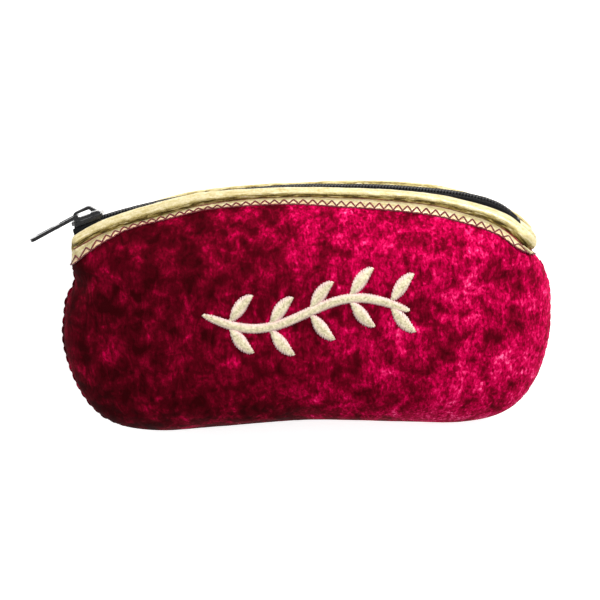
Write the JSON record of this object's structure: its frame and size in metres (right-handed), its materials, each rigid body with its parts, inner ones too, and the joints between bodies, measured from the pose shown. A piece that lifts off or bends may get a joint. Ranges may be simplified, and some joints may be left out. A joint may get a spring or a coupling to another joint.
{
  "type": "makeup bag",
  "caption": "Soft kidney-shaped crushed-velvet pouch with gold leatherette trims, a zig-zag seam and an arched coil zip with slider and pull tab.",
  "frame": {"origin": "centre of the flat face of the back panel that the bag lies on", "axes": "+X along the bag's width, +Y out of the zipped mouth, +Z out of the front panel, which faces up as the bag lies on its back"},
  "size_m": [0.2225, 0.1095, 0.0472],
  "materials": {
    "velvet": "crushed velvet pile, mottled light and dark",
    "gold_leatherette": "crinkled metallic leatherette",
    "foam": "matt wadding",
    "lining": "plain woven satin",
    "filler_cord": "cotton",
    "seam_thread": "polyester thread",
    "velvet_thread": "polyester thread",
    "satin_thread": "rayon satin stitch",
    "zip_tape": "woven tape",
    "zip_coil": "moulded coil",
    "black_metal": "black enamel"
  },
  "bodies": {
    "back_half": {"back_panel": "velvet", "back_padding": "foam", "back_lining": "lining", "back_trim_band": "gold_leatherette", "back_piping": "gold_leatherette", "back_piping_cord": "filler_cord", "back_piping_seam": "seam_thread", "back_zigzag_stitch": "seam_thread", "back_zipper_tape": "zip_tape", "back_coil": "zip_coil", "left_tape_end": "zip_tape", "right_tape_end": "zip_tape", "left_coil_end": "zip_coil", "right_coil_end": "zip_coil", "top_stops": "black_metal", "bottom_stop": "black_metal", "left_end_tab": "gold_leatherette", "right_end_tab": "gold_leatherette", "perimeter_stitch": "velvet_thread"},
    "front_half": {"front_panel": "velvet", "front_padding": "foam", "front_lining": "lining", "front_trim_band": "gold_leatherette", "front_piping": "gold_leatherette", "front_piping_cord": "filler_cord", "front_piping_seam": "seam_thread", "front_zigzag_stitch": "seam_thread", "front_zipper_tape": "zip_tape", "front_coil": "zip_coil", "embroidered_sprig": "satin_thread"},
    "slider": {"slider_body": "black_metal"},
    "puller": {"pull_tab": "black_metal"}
  },
  "joints": [
    {"name": "mouth_open", "type": "hinge", "parent": "back_half", "child": "front_half", "pos_m": [0, -0.0513, 0.02], "axis": [1, 0, 0], "range_deg": [0, 22]},
    {"name": "slider_travel", "type": "hinge", "parent": "back_half", "child": "slider", "pos_m": [0, -0.2445, 0.02], "axis": [0, 0, -1], "range_deg": [0, 33.6]},
    {"name": "puller_swing", "type": "hinge", "parent": "slider", "child": "puller", "pos_m": [-0.09623, 0.04421, 0.02], "axis": [0, 0, -1], "range_deg": [0, 165]}
  ]
}
